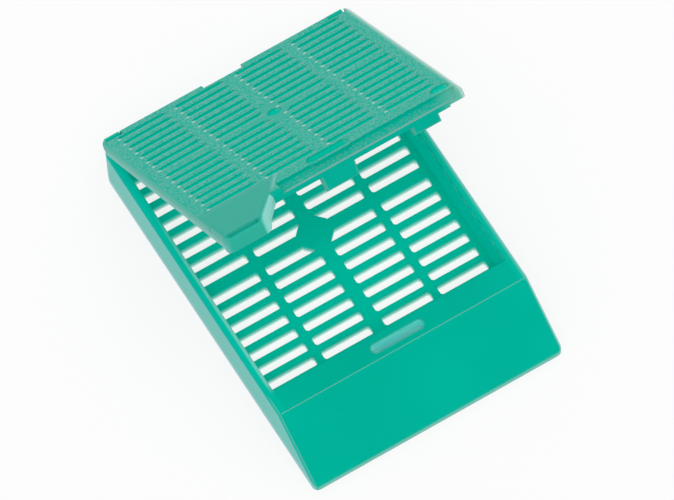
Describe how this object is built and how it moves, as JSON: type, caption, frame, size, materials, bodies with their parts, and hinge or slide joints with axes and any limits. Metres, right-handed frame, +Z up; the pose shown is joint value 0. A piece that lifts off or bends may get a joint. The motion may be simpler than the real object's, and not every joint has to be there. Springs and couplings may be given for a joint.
{
  "type": "tissue cassette",
  "caption": "Slotted plastic tissue cassette: shallow tray with a sloping writing face, hinged perforated lid with a latch tab and a finger catch, shown half open.",
  "frame": {"origin": "on the flat underside of the tray, below the solid pad at the centre of the floor's slot field", "axes": "+X to the right across the cassette, +Y from the writing face to the hinge, +Z up"},
  "size_m": [0.0286, 0.0413, 0.0304],
  "materials": {
    "tray_plastic": "satin teal acetal, smooth",
    "lid_plastic": "satin teal acetal, fine grain on the top face"
  },
  "bodies": {
    "tray": {"tray": "tray_plastic"},
    "lid": {"lid": "lid_plastic"}
  },
  "joints": [
    {"name": "lid_hinge", "type": "hinge", "parent": "tray", "child": "lid", "pos_m": [0, 0.01704, 0.00635], "axis": [-1, 0, 0], "range_deg": [-42.1, 108]}
  ]
}
